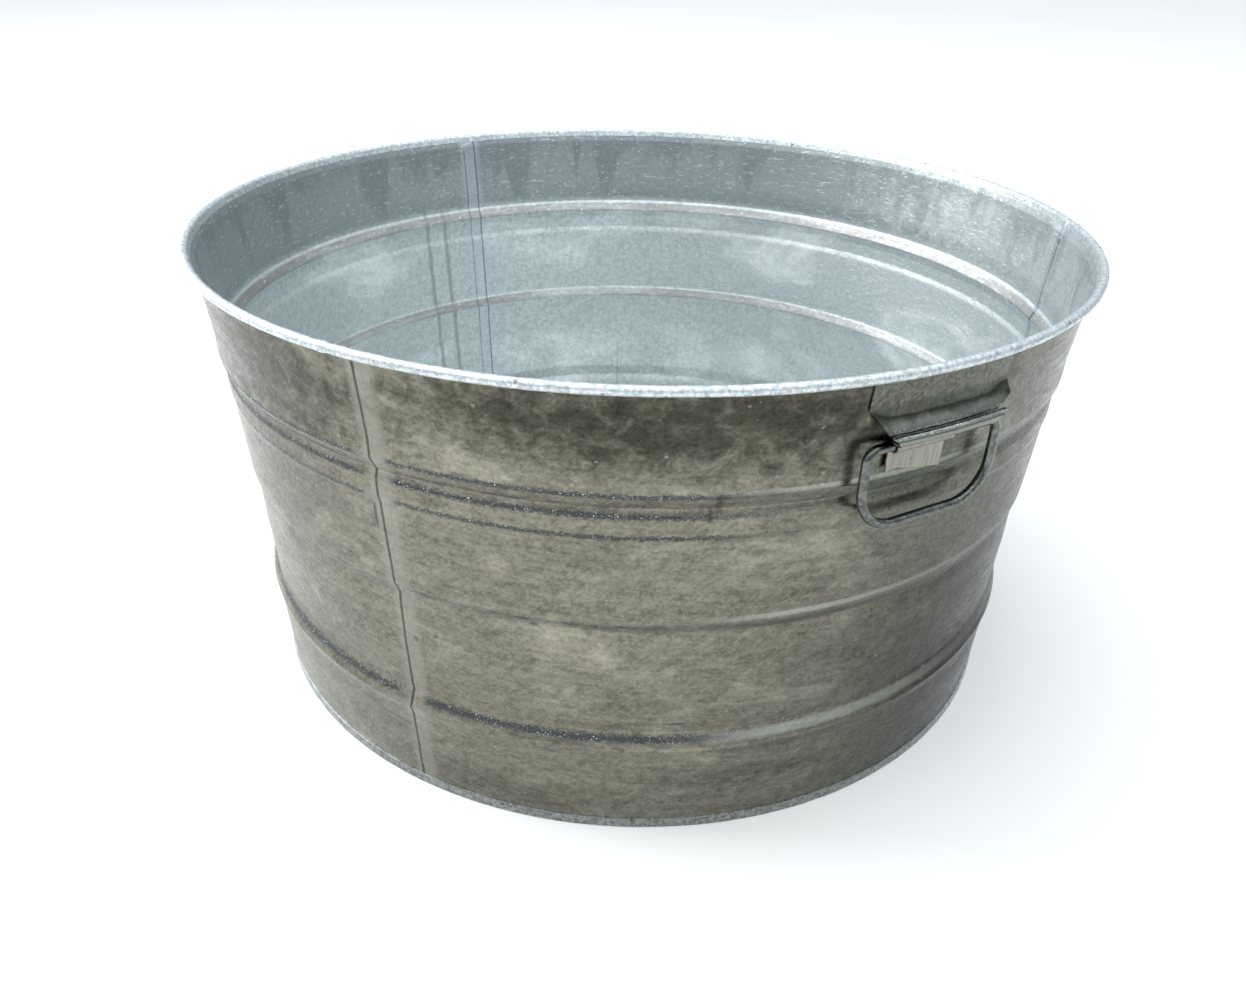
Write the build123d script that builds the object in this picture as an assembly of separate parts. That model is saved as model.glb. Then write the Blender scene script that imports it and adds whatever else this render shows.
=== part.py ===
from build123d import *
import math
import os

# Round galvanized wash tub with two drop handles. Millimetres, +Z up.
# The origin is the centre of the base on the floor; handle A is at +X and handle B at -X.

# Driving dimensions: the tub
RIM_RADIUS = 290.0  # outside of the rolled rim
HEIGHT = 292.0
SHEET = 0.7  # wall and bottom
GAP = 0.05  # between pieces that the zinc solders together
CURL_RADIUS = 2.8  # outside of the sheet rolled round the rim wire
CURL_TURN = 295.0  # degrees of sheet round the rim wire
SHEET_NAMES = ["wall_sheet_a", "wall_sheet_b", "wall_sheet_c"]
FIRST_SEAM = -58.8  # degrees from +X
SEAM_SPLIT = 0.04  # degrees, the butt line on the outside
LAP_ROOT = 0.5  # degrees of inner lap on its own sheet
LAP_REACH = 1.9  # degrees that the lap runs behind the next sheet
LAP_BOTTOM = 17.0
LAP_TOP = 280.0

# Outside of the wall from the chime up, as (radius, height, bend radius)
WALL_BENDS = [
    (261.35, 9.0, 20.0),  # upright inside the chime, then flared
    (264.7, 57.0, 20.0),  # fine crease under the lower bead
    (266.5, 63.0, 2.2),  # lower bead stands out
    (262.4, 73.5, 3.0),
    (263.3, 81.0, 20.0),
    (265.5, 112.0, 60.0),
    (266.3, 136.0, 40.0),
    (265.9, 144.0, 4.0),  # middle bead steps in going down
    (269.4, 151.5, 3.0),
    (273.5, 203.5, 8.0),
    (274.7, 207.5, 3.0),  # shallow band under the upper bead
    (274.9, 217.0, 3.0),
    (273.7, 222.5, 2.0),  # upper bead steps in going down
    (277.9, 230.5, 2.2),
    (278.2, 243.0, 60.0),
    (282.8, 282.5, 5.0),  # flares into the rim roll
]

# Driving dimensions: the bottom
FOOT_RADIUS = 262.1  # outside of the chime
FOOT_BEND = 0.8
CHIME_HEIGHT = 6.5
FLOOR_HEIGHT = 13.0  # top of the bottom sheet
FLOOR_BEND = 1.5
RING_RADIUS = 196.0  # stiffening ring pressed into the bottom
RING_HALF_WIDTH = 7.0
RING_SLOPE = 4.0
RING_RISE = 2.0
RING_BEND = 5.0

# Driving dimensions: the handles
WIRE_RADIUS = 2.6
PIVOT_RADIUS = 282.1  # from the tub's axis to the bail's top bar
PIVOT_HEIGHT = 251.1
BAIL_HALF_WIDTH = 41.9
BAIL_DROP = 43.8
BAIL_TOP_BEND = 6.0
BAIL_BOTTOM_BEND = 22.5

STRAP_SHEET = 0.8
STRAP_ENDS = (-26.5, 9.7)  # along the bail's bar
STRAP_BOTTOM = 230.6
STRAP_TOP = 263.0
STRAP_STANDOFF = 0.15  # from the wall
STRAP_CLEARANCE = 0.3  # round the bail's bar
STRAP_BAR_BEND = 2.6
STRAP_WALL_BEND = 0.9

HOOD_SHEET = 0.8
HOOD_SIDES = (-42.0, 47.0)  # along the bail's bar
HOOD_CORNERS = (271.0, 263.5)  # heights where the sides turn in to the lip
HOOD_TOP = 285.7
HOOD_BEND_HEIGHT = 271.0  # where the hood leaves the wall
HOOD_BEND = 8.0
LIP_RADIUS = 289.8  # from the tub's axis to the middle of the rolled lip
LIP_HEIGHT = 256.7
LIP_CURL = 2.8
LIP_TURN = 275.0  # degrees of roll
LIP_ENDS = (-30.0, 31.0)
LIP_CUT_HEIGHT = 254.5  # where the hood's slanted ends stop

# Derived places
CURL_CENTRE = (RIM_RADIUS - CURL_RADIUS, HEIGHT - CURL_RADIUS)
WALL_FOOT = (FOOT_RADIUS - SHEET - GAP, SHEET + 4 * GAP)
FOOT_INNER = FOOT_RADIUS - 3 * SHEET - 2 * GAP
SHEET_ANGLE = 360.0 / len(SHEET_NAMES)


def polar(centre, radius, degrees):
    """The point at a radius and an angle round a centre."""
    angle = math.radians(degrees)
    return (centre[0] + radius * math.cos(angle), centre[1] + radius * math.sin(angle))


def tangent_angle(point, centre, radius, side):
    """The angle round a circle at which a line from a point touches it."""
    away = Vector(point) - Vector(centre)
    bearing = math.degrees(math.atan2(away.Y, away.X))
    return bearing + side * math.degrees(math.acos(radius / away.length))


def parallel(points, bends, distance):
    """The corners and bend radii of the line that runs at a distance to the left of another."""
    ways = [(Vector(b) - Vector(a)).normalized() for a, b in zip(points, points[1:])]
    normals = [Vector(-way.Y, way.X) for way in ways]
    moved = [Vector(points[0]) + normals[0] * distance]
    moved_bends = []
    for i, bend in enumerate(bends):
        before, after = normals[i], normals[i + 1]
        moved.append(Vector(points[i + 1]) + (before + after) * (distance / (1 + before.dot(after))))
        turns_left = ways[i].X * ways[i + 1].Y > ways[i].Y * ways[i + 1].X
        moved_bends.append(bend - distance if turns_left else bend + distance)
    moved.append(Vector(points[-1]) + normals[-1] * distance)
    return [(p.X, p.Y) for p in moved], moved_bends


def strip(points, bends, sheet, roll=None):
    """The section of a bent sheet, in the XZ plane, to the left of a line.

    roll is (centre, radius of the line, start angle, turn) where the sheet ends rolled up.
    """
    left_points, left_bends = parallel(points, bends, sheet)
    with BuildSketch(Plane.XZ) as section:
        with BuildLine():
            FilletPolyline(*points, radius=bends)
            FilletPolyline(*left_points, radius=left_bends)
            Line(points[0], left_points[0])
            if roll is None:
                Line(points[-1], left_points[-1])
            else:
                centre, radius, start, turn = roll
                left_radius = radius - math.copysign(sheet, turn)
                CenterArc(centre, radius, start, turn)
                CenterArc(centre, left_radius, start, turn)
                Line(polar(centre, radius, start + turn), polar(centre, left_radius, start + turn))
        make_face()
    return section.sketch


def turned(section, start, angle):
    """A section in the XZ plane, turned about the tub's axis from a start angle."""
    return Rot(0, 0, start) * revolve(section, Axis.Z, angle)


def wall_line():
    """Corners and bends of the wall's outside, from the foot to where it meets the rim roll."""
    top = [(r, z) for r, z, _ in WALL_BENDS]
    roll_start = tangent_angle(top[-1], CURL_CENTRE, CURL_RADIUS - SHEET, -1)
    points = [WALL_FOOT] + top + [polar(CURL_CENTRE, CURL_RADIUS - SHEET, roll_start)]
    return points, [bend for _, _, bend in WALL_BENDS], roll_start


def point_at(points, height):
    """The point at a height on the straight runs of a rising line."""
    for (r0, z0), (r1, z1) in zip(points, points[1:]):
        if z0 <= height <= z1:
            return (r0 + (r1 - r0) * (height - z0) / (z1 - z0), height)
    raise ValueError(f"no wall at height {height}")


def wall_radius(height):
    """Outside radius of the wall at a height."""
    return point_at(wall_line()[0], height)[0]


def wall_section():
    """The wall sheet, from inside the chime to the end of its roll round the rim wire."""
    points, bends, roll_start = wall_line()
    return strip(points, bends, SHEET, (CURL_CENTRE, CURL_RADIUS - SHEET, roll_start, -CURL_TURN))


def lap_section(outer, inner):
    """The flange behind a seam, between two depths under the wall's outside."""
    corners = [bend for bend in WALL_BENDS if LAP_BOTTOM < bend[1] < LAP_TOP]
    points, _, _ = wall_line()
    points = [point_at(points, LAP_BOTTOM)] + [(r, z) for r, z, _ in corners] + [point_at(points, LAP_TOP)]
    lap_points, lap_bends = parallel(points, [bend for _, _, bend in corners], outer)
    return strip(lap_points, lap_bends, inner - outer)


def wall_sheet(index):
    """One third of the wall, with the flange that locks behind the next sheet."""
    start = FIRST_SEAM + index * SHEET_ANGLE + SEAM_SPLIT
    end = start + SHEET_ANGLE - 2 * SEAM_SPLIT
    skin = turned(wall_section(), start, end - start)
    root = turned(lap_section(SHEET / 2, 2 * SHEET + GAP), end - LAP_ROOT, LAP_ROOT)
    reach = turned(lap_section(SHEET + GAP, 2 * SHEET + GAP), end, LAP_REACH)
    return skin + root + reach


def rim_wire():
    """The wire that the wall is rolled round, butted into a ring."""
    return Pos(0, 0, CURL_CENTRE[1]) * Torus(CURL_CENTRE[0], CURL_RADIUS - SHEET - GAP)


def bottom_pan():
    """The bottom, with its rim folded down inside the wall, under it and up outside it."""
    low = FLOOR_HEIGHT - SHEET
    high = low + RING_RISE
    points = [
        (0, low),
        (RING_RADIUS - RING_HALF_WIDTH - RING_SLOPE, low),
        (RING_RADIUS - RING_HALF_WIDTH + RING_SLOPE, high),
        (RING_RADIUS + RING_HALF_WIDTH - RING_SLOPE, high),
        (RING_RADIUS + RING_HALF_WIDTH + RING_SLOPE, low),
        (FOOT_INNER, low),
        (FOOT_INNER, 0),
        (FOOT_RADIUS, 0),
        (FOOT_RADIUS, CHIME_HEIGHT),
    ]
    bends = [RING_BEND] * 4 + [FLOOR_BEND, FOOT_BEND, FOOT_BEND]
    return revolve(strip(points, bends, SHEET), Axis.Z, 360)


def hood():
    """The hood over the bail: a flange on the wall, a flared awning and a rolled lip."""
    centre = (LIP_RADIUS, LIP_HEIGHT)
    bend_point = (wall_radius(HOOD_BEND_HEIGHT) + GAP, HOOD_BEND_HEIGHT)
    roll_start = tangent_angle(bend_point, centre, LIP_CURL, 1)
    points = [(wall_radius(HOOD_TOP) + GAP, HOOD_TOP), bend_point, polar(centre, LIP_CURL, roll_start)]
    section = strip(points, [HOOD_BEND], HOOD_SHEET, (centre, LIP_CURL, roll_start, LIP_TURN))
    half_angle = 2 * math.degrees(max(HOOD_SIDES) / RIM_RADIUS)
    blank = turned(section, -half_angle, 2 * half_angle)
    left, right = [
        [(side, HEIGHT), (side, corner), (end, LIP_CUT_HEIGHT), (end, LIP_HEIGHT - 2 * LIP_CURL)]
        for side, corner, end in zip(HOOD_SIDES, HOOD_CORNERS, LIP_ENDS)
    ]
    outline = left + right[::-1]
    with BuildSketch(Plane.YZ) as trim:
        Polygon(*outline, align=None)
    return blank & extrude(trim.sketch, amount=1.2 * RIM_RADIUS)


def strap():
    """The strap that holds the bail's bar to the wall, its two flanges soldered on."""
    reach = WIRE_RADIUS + STRAP_CLEARANCE
    heights = [STRAP_TOP, PIVOT_HEIGHT + reach, PIVOT_HEIGHT - reach, STRAP_BOTTOM]
    top, upper, lower, bottom = [(wall_radius(z) + STRAP_STANDOFF, z) for z in heights]
    front = PIVOT_RADIUS + reach
    points = [top, upper, (front, upper[1]), (front, lower[1]), lower, bottom]
    bends = [STRAP_WALL_BEND, STRAP_BAR_BEND, STRAP_BAR_BEND, STRAP_WALL_BEND]
    section = Pos(0, STRAP_ENDS[0], 0) * strip(points, bends, STRAP_SHEET)
    return extrude(section, amount=STRAP_ENDS[1] - STRAP_ENDS[0], dir=(0, 1, 0))


def bail():
    """The wire loop, hanging straight down from its top bar."""
    low = PIVOT_HEIGHT - BAIL_DROP
    half = BAIL_HALF_WIDTH
    corners = [(half, PIVOT_HEIGHT), (half, low), (-half, low), (-half, PIVOT_HEIGHT)]
    bends = [BAIL_TOP_BEND, BAIL_BOTTOM_BEND, BAIL_BOTTOM_BEND, BAIL_TOP_BEND]
    with BuildLine(Plane.YZ.offset(PIVOT_RADIUS)) as line:
        FilletPolyline(*corners, radius=bends, close=True)
    path = line.wires()[0]
    start = Plane(origin=path @ 0, z_dir=path % 0)
    return sweep(start * Circle(WIRE_RADIUS), path=path)


def save(shape, node):
    export_step(shape, f"parts/{node}.step")
    print(node, round(shape.volume, 1))


if __name__ == "__main__":
    os.makedirs("parts", exist_ok=True)
    for index, name in enumerate(SHEET_NAMES):
        save(wall_sheet(index), name)
    save(rim_wire(), "rim_wire")
    save(bottom_pan(), "bottom_pan")
    fittings = {"hood": hood(), "strap": strap(), "bail": bail()}
    for side, angle in (("a", 0), ("b", 180)):
        for name, shape in fittings.items():
            save(Rot(0, 0, angle) * shape, f"{name}_{side}")
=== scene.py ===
import math

import bmesh
import bpy
from mathutils import Matrix, Vector, noise


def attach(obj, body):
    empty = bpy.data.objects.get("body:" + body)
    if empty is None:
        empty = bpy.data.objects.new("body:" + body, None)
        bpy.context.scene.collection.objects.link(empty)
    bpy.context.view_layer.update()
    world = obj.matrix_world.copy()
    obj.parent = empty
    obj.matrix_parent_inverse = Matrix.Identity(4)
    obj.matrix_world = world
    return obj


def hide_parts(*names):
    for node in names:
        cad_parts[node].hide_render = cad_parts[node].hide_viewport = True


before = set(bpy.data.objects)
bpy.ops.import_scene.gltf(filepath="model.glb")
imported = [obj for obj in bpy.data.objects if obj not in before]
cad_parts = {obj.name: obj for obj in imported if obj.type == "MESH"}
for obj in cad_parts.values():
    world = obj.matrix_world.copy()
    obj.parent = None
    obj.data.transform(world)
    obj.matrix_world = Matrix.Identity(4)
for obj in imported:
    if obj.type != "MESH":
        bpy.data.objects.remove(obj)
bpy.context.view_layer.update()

# Driving dimensions, in millimetres, the same as the CAD model's
MM = 0.001
SHEET = 0.7  # wall and bottom
GAP = 0.05  # between soldered sheets
RIM_RADIUS = 290.0
HEIGHT = 292.0
CURL_RADIUS = 2.8
CURL_TURN = 295.0  # degrees of sheet round the rim wire
FIRST_SEAM = -58.8  # degrees from +X
SHEET_ANGLE = 120.0
SEAM_SPLIT = 0.012  # degrees left open on each side of a seam
SEAM_EDGE = 0.3  # degrees of the finest steps beside a seam
SEAM_STRIP = 2.2  # degrees of fine steps over the seam's raised strip
LAP_HEIGHTS = (17.0, 280.0)
LAP_ANGLES = (-0.5, 1.9)
MIDDLE_RADIUS = 270.0  # where distances round the wall are measured
SHARP_ANGLE = 50.0  # degrees between faces, past which an edge is shaded sharp
WALL_NODES = ["wall_sheet_a", "wall_sheet_b", "wall_sheet_c"]
# Outside of the wall from the chime up, as (radius, height, bend radius)
WALL_BENDS = [
    (261.35, 9.0, 20.0),
    (264.7, 57.0, 20.0),
    (266.5, 63.0, 2.2),
    (262.4, 73.5, 3.0),
    (263.3, 81.0, 20.0),
    (265.5, 112.0, 60.0),
    (266.3, 136.0, 40.0),
    (265.9, 144.0, 4.0),
    (269.4, 151.5, 3.0),
    (273.5, 203.5, 8.0),
    (274.7, 207.5, 3.0),
    (274.9, 217.0, 3.0),
    (273.7, 222.5, 2.0),
    (277.9, 230.5, 2.2),
    (278.2, 243.0, 60.0),
    (282.8, 282.5, 5.0),
]
TOP_FLARE = 0.1164  # how fast the wall leans out above its last bend
LINE_STEP = 2.4  # length of the wall's steps up its section
FOOT_RADIUS = 262.1
CHIME_HEIGHT = 6.5
FLOOR_HEIGHT = 13.0
RING_RADIUS = 196.0
PIVOT_RADIUS = 282.1  # from the tub's axis to the bail's top bar
PIVOT_HEIGHT = 251.1
WIRE_RADIUS = 2.6
BAIL_HALF_WIDTH = 41.9
BAIL_DROP = 43.8
BAIL_BENDS = (6.0, 22.5)  # at the top bar and at the bottom
STRAP_SHEET = 0.8
STRAP_ENDS = (-26.5, 9.7)  # along the bail's bar
STRAP_HEIGHTS = (263.0, 230.6)
STRAP_CLEARANCE = 0.3
STRAP_STANDOFF = 0.15
HOOD_SHEET = 0.8
HOOD_SIDES = (-42.0, 47.0)  # along the bail's bar
HOOD_CORNERS = (271.0, 263.5)  # heights where the sides turn in to the lip
HOOD_TOP = 285.7
HOOD_BEND = 8.0
LIP_ENDS = (-30.0, 31.0)
LIP_CUT_HEIGHT = 254.5
LIP_CENTRE = (289.8, 256.7)
LIP_CURL = 2.8
LIP_TURN = 275.0  # degrees of roll
CURL_CENTRE = (RIM_RADIUS - CURL_RADIUS, HEIGHT - CURL_RADIUS)
FOOT_INNER = FOOT_RADIUS - 3 * SHEET - 2 * GAP


# Lines and sheets

def polar(centre, radius, degrees):
    """The point at a radius and an angle round a centre."""
    angle = math.radians(degrees)
    return (centre[0] + radius * math.cos(angle), centre[1] + radius * math.sin(angle))


def tangent_angle(point, centre, radius, side):
    """The angle round a circle at which a line from a point touches it."""
    away = Vector(point) - Vector(centre)
    return math.degrees(math.atan2(away.y, away.x)) + side * math.degrees(math.acos(radius / away.length))


def rounded(corners, run):
    """Points along a line of (x, y, bend radius) corners: arcs at the bends and short runs between."""
    line = [Vector(corners[0][:2])]
    for before, corner, after in zip(corners, corners[1:], corners[2:]):
        here = Vector(corner[:2])
        back = (Vector(before[:2]) - here).normalized()
        on = (Vector(after[:2]) - here).normalized()
        half = back.angle(on) / 2
        centre = here + (back + on).normalized() * corner[2] / math.sin(half)
        spoke = here + back * corner[2] / math.tan(half) - centre
        turn = math.copysign(math.pi - 2 * half, -back.cross(on))
        steps = max(2, round(abs(turn) / math.radians(10)))
        line += [centre + Matrix.Rotation(turn * i / steps, 2) @ spoke for i in range(steps + 1)]
    line.append(Vector(corners[-1][:2]))
    points = [line[0]]
    for a, b in zip(line, line[1:]):
        count = max(1, math.ceil((b - a).length / run))
        points += [a.lerp(b, i / count) for i in range(1, count + 1)]
    return [tuple(point) for point in points]


def arc(centre, radius, start, turn, steps):
    """Points round an arc, after its first one."""
    return [polar(centre, radius, start + turn * i / steps) for i in range(1, steps + 1)]


def wall_line():
    """The outside of the wall, from inside the chime up and round the rim wire."""
    radius = CURL_RADIUS - SHEET
    start = tangent_angle(WALL_BENDS[-1][:2], CURL_CENTRE, radius, -1)
    foot = (FOOT_RADIUS - SHEET - GAP, SHEET + 4 * GAP, 0)
    corners = [foot] + WALL_BENDS + [polar(CURL_CENTRE, radius, start) + (0,)]
    return rounded(corners, LINE_STEP) + arc(CURL_CENTRE, radius, start, -CURL_TURN, 26)


def wall_radius(height):
    """Outside radius of the wall at a height, between its bends."""
    for (r0, z0, _), (r1, z1, _) in zip(WALL_BENDS, WALL_BENDS[1:]):
        if z0 <= height <= z1:
            return r0 + (r1 - r0) * (height - z0) / (z1 - z0)
    radius, level, _ = WALL_BENDS[-1]
    return radius + TOP_FLARE * (height - level)


def lap_line():
    """The middle of the gap behind the wall, over the height of the seam's lap."""
    low, high = LAP_HEIGHTS
    corners = [(wall_radius(low), low, 0)]
    corners += [bend for bend in WALL_BENDS if low < bend[1] < high]
    corners.append((wall_radius(high), high, 0))
    return rounded([(r - SHEET - 2 * GAP, z, bend) for r, z, bend in corners], LINE_STEP)


def spun(points, start, legs):
    """A line of (radius, height) points turned about the Z axis, through (degrees, steps) legs."""
    bm = bmesh.new()
    verts = [bm.verts.new((x * MM, 0, z * MM)) for x, z in points]
    for a, b in zip(verts, verts[1:]):
        bm.edges.new((a, b))
    turn = Matrix.Rotation(math.radians(start), 3, "Z")
    bmesh.ops.rotate(bm, verts=bm.verts, cent=(0, 0, 0), matrix=turn)
    last = bm.verts[:] + bm.edges[:]
    for degrees, steps in legs:
        made = bmesh.ops.spin(
            bm, geom=last, cent=(0, 0, 0), axis=(0, 0, 1), angle=math.radians(degrees), steps=steps,
            use_merge=degrees == 360,
        )
        last = made["geom_last"]
    bmesh.ops.remove_doubles(bm, verts=bm.verts, dist=1e-6)
    return bm


def faced(bm, outwards):
    """Turns an open sheet's faces so that they look along a direction worked out from their middle."""
    bmesh.ops.recalc_face_normals(bm, faces=bm.faces)
    score = 0
    for face in bm.faces:
        score += face.normal.dot(outwards(face.calc_center_median())) * face.calc_area()
    if score < 0:
        bmesh.ops.reverse_faces(bm, faces=bm.faces)


def thickened(bm, sheet):
    """Gives an open sheet its thickness, and returns the faces made on its other side and its edges."""
    before = set(bm.faces)
    bmesh.ops.solidify(bm, geom=bm.faces[:], thickness=sheet * MM)
    return [face for face in bm.faces if face not in before]


def radial(place):
    """The direction away from the tub's axis."""
    return Vector((place.x, place.y, 0)).normalized()


def drift(place, size, seed):
    """Smooth noise from -1 to 1, with lumps of a size in millimetres."""
    return noise.noise(place / (size * MM) + Vector((seed, 1.7 * seed, 0.3 * seed)))


def around(place):
    """Millimetres round the wall from the nearest seam, positive towards its own sheet's middle."""
    angle = math.degrees(math.atan2(place.y, place.x)) - FIRST_SEAM
    offset = (angle + SHEET_ANGLE / 2) % SHEET_ANGLE - SHEET_ANGLE / 2
    return math.radians(offset) * place.xy.length / MM


def bell(x, width):
    """A smooth hump of height 1."""
    return math.exp(-(x / width) ** 2)


def fade(x, start, end):
    """0 at start and before it, 1 at end and past it."""
    t = min(1, max(0, (x - start) / (end - start)))
    return t * t * (3 - 2 * t)


def finished(bm, cad_node, body, materials):
    """Makes a mesh object of a bmesh, shaded smooth but for its sharp edges, that stands for a CAD node."""
    name = cad_node + "_zinc"
    mesh = bpy.data.meshes.new(name)
    for face in bm.faces:
        face.smooth = True
    for edge in bm.edges:
        if len(edge.link_faces) == 2 and edge.calc_face_angle(0) > math.radians(SHARP_ANGLE):
            edge.smooth = False
    bm.to_mesh(mesh)
    bm.free()
    piece = bpy.data.objects.new(name, mesh)
    bpy.context.scene.collection.objects.link(piece)
    for material in materials:
        mesh.materials.append(material)
    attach(piece, body)
    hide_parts(cad_node)


# Shader building

def wire(tree, socket, value):
    """Joins an output to an input, or sets the input."""
    if isinstance(value, bpy.types.NodeSocket):
        tree.links.new(value, socket)
    else:
        socket.default_value = value


def node(tree, kind, settings=None, **inputs):
    """Adds a node with settings and inputs."""
    made = tree.nodes.new(kind)
    for key, value in (settings or {}).items():
        setattr(made, key, value)
    for key, value in inputs.items():
        wire(tree, made.inputs[key], value)
    return made


def maths(tree, operation, a, b=0.5, c=0.0, clamp=False):
    """One Math node's result."""
    made = tree.nodes.new("ShaderNodeMath")
    made.operation = operation
    made.use_clamp = clamp
    for socket, value in zip(made.inputs, (a, b, c)):
        wire(tree, socket, value)
    return made.outputs[0]


def plus(tree, a, b):
    return maths(tree, "ADD", a, b)


def less(tree, a, b):
    return maths(tree, "SUBTRACT", a, b)


def times(tree, a, b):
    return maths(tree, "MULTIPLY", a, b)


def away(tree, value, place):
    """How far a value is from a place, without its sign."""
    return maths(tree, "ABSOLUTE", less(tree, value, place))


def most(tree, values):
    """The largest of some values."""
    largest = values[0]
    for value in values[1:]:
        largest = maths(tree, "MAXIMUM", largest, value)
    return largest


def summed(tree, *terms):
    """The sum of (value, weight) terms."""
    total = times(tree, *terms[0])
    for value, weight in terms[1:]:
        total = plus(tree, total, times(tree, value, weight))
    return total


def spread(tree, value, low, high, out_low=0.0, out_high=1.0):
    """Maps a value smoothly from one range to another, and clamps it."""
    made = tree.nodes.new("ShaderNodeMapRange")
    made.interpolation_type = "SMOOTHSTEP"
    names = ("Value", "From Min", "From Max", "To Min", "To Max")
    for name, number in zip(names, (value, low, high, out_low, out_high)):
        wire(tree, made.inputs[name], number)
    return made.outputs[0]


def mixed(tree, factor, a, b, blend="MIX"):
    """A blend of two colours, each a socket or a red, green and blue."""
    made = node(tree, "ShaderNodeMix", {"data_type": "RGBA", "blend_type": blend})
    wire(tree, made.inputs[0], factor)
    for index, colour in ((6, a), (7, b)):
        wire(tree, made.inputs[index], colour + (1,) if isinstance(colour, tuple) else colour)
    return made.outputs[2]


def cloud(tree, vector, scale, detail=3.0, roughness=0.55, distortion=0.0):
    """A noise texture's value."""
    made = node(
        tree, "ShaderNodeTexNoise", Vector=vector, Scale=scale, Detail=detail, Roughness=roughness,
        Distortion=distortion,
    )
    return made.outputs[0]


def stretched(tree, vector, x, y, z):
    """A vector with its parts multiplied."""
    made = node(tree, "ShaderNodeVectorMath", {"operation": "MULTIPLY"})
    wire(tree, made.inputs[0], vector)
    made.inputs[1].default_value = (x, y, z)
    return made.outputs[0]


def relief(tree, height, distance):
    """A bumped normal; distance is in millimetres."""
    return node(tree, "ShaderNodeBump", Height=height, Distance=distance * MM).outputs[0]


def group(name, vector, floats, *outputs):
    """An empty shader group with a vector input and number inputs, and its two end nodes' sockets."""
    tree = bpy.data.node_groups.new(name, "ShaderNodeTree")
    sockets = [("INPUT", vector, "Vector")] if vector else []
    sockets += [("INPUT", label, "Float") for label in floats]
    sockets += [("OUTPUT", label, "Vector" if label == "Flat" else "Float") for label in outputs]
    for direction, label, kind in sockets:
        tree.interface.new_socket(label, in_out=direction, socket_type="NodeSocket" + kind)
    return tree, tree.nodes.new("NodeGroupInput").outputs, tree.nodes.new("NodeGroupOutput").inputs


def use(tree, name, **inputs):
    """A group's outputs, in a tree."""
    made = tree.nodes.new("ShaderNodeGroup")
    made.node_tree = bpy.data.node_groups[name]
    for key, value in inputs.items():
        wire(tree, made.inputs[key], value)
    return made.outputs


def make_place_group():
    """Where a point is on the tub: metres round and up, and millimetres round, up and from a seam."""
    tree, _, out = group("place_on_tub", None, (), "Flat", "Around", "Height", "Seam")
    here = tree.nodes.new("ShaderNodeTexCoord").outputs["Object"]
    x, y, z = node(tree, "ShaderNodeSeparateXYZ", Vector=here).outputs
    angle = times(tree, maths(tree, "ARCTAN2", y, x), 180 / math.pi)
    angle = maths(tree, "WRAP", less(tree, angle, FIRST_SEAM), 2 * SHEET_ANGLE, -SHEET_ANGLE)
    arc_of_degree = math.radians(MIDDLE_RADIUS)
    tree.links.new(times(tree, angle, arc_of_degree), out["Around"])
    tree.links.new(times(tree, z, 1 / MM), out["Height"])
    near = maths(tree, "WRAP", angle, SHEET_ANGLE / 2, -SHEET_ANGLE / 2)
    tree.links.new(times(tree, near, arc_of_degree), out["Seam"])
    flat = node(tree, "ShaderNodeCombineXYZ", X=times(tree, angle, arc_of_degree * MM), Y=z)
    tree.links.new(flat.outputs[0], out["Flat"])


def make_crystal_group():
    """Fine zinc crystals: a mask of their shades, and a fine height."""
    tree, into, out = group("zinc_crystals", "Vector", ("Size",), "Shade", "Relief")
    scale = maths(tree, "DIVIDE", 1 / MM, into["Size"])
    wobble = node(tree, "ShaderNodeTexNoise", Vector=into["Vector"], Scale=scale, Detail=1.0)
    small = node(tree, "ShaderNodeVectorMath", {"operation": "SCALE"}, Scale=0.0012)
    wire(tree, small.inputs[0], wobble.outputs["Color"])
    bent = node(tree, "ShaderNodeVectorMath", {"operation": "ADD"})
    wire(tree, bent.inputs[0], into["Vector"])
    wire(tree, bent.inputs[1], small.outputs[0])
    cells = node(tree, "ShaderNodeTexVoronoi", Vector=bent.outputs[0], Scale=scale, Randomness=1.0)
    tone = node(tree, "ShaderNodeSeparateColor", Color=cells.outputs["Color"]).outputs[0]
    haze = cloud(tree, into["Vector"], times(tree, scale, 0.55), 4.0, 0.65)
    shade = summed(tree, (tone, 0.45), (haze, 0.75))
    tree.links.new(spread(tree, shade, 0.25, 0.95), out["Shade"])
    fine = cloud(tree, into["Vector"], times(tree, scale, 0.8), 2.0, 0.6)
    tree.links.new(summed(tree, (tone, 0.3), (fine, 1.0)), out["Relief"])


def make_wipe_group():
    """Long light and dark wiping marks that run round the sheet, a little tilted."""
    tree, into, out = group("wiping_marks", "Flat", ("Tilt",), "Mask")
    turned = node(tree, "ShaderNodeVectorRotate", {"rotation_type": "Z_AXIS"})
    wire(tree, turned.inputs["Vector"], into["Flat"])
    wire(tree, turned.inputs["Angle"], into["Tilt"])
    broad = cloud(tree, stretched(tree, turned.outputs[0], 14, 75, 1), 1.0, 4.0, 0.6, 0.6)
    fine = cloud(tree, stretched(tree, turned.outputs[0], 45, 420, 1), 1.0, 3.0, 0.6, 0.3)
    both = summed(tree, (broad, 0.5), (fine, 0.5))
    tree.links.new(spread(tree, both, 0.36, 0.64), out["Mask"])


def make_smudge_group():
    """Soft uneven smudges; a larger share covers more of the sheet."""
    tree, into, out = group("smudges", "Flat", ("Size", "Share"), "Mask")
    scale = maths(tree, "DIVIDE", 1 / MM, into["Size"])
    lumps = cloud(tree, stretched(tree, into["Flat"], 0.6, 1.0, 1.0), scale, 6.0, 0.62, 0.4)
    low = less(tree, 0.78, times(tree, into["Share"], 0.5))
    tree.links.new(spread(tree, lumps, low, plus(tree, low, 0.2)), out["Mask"])


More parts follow.
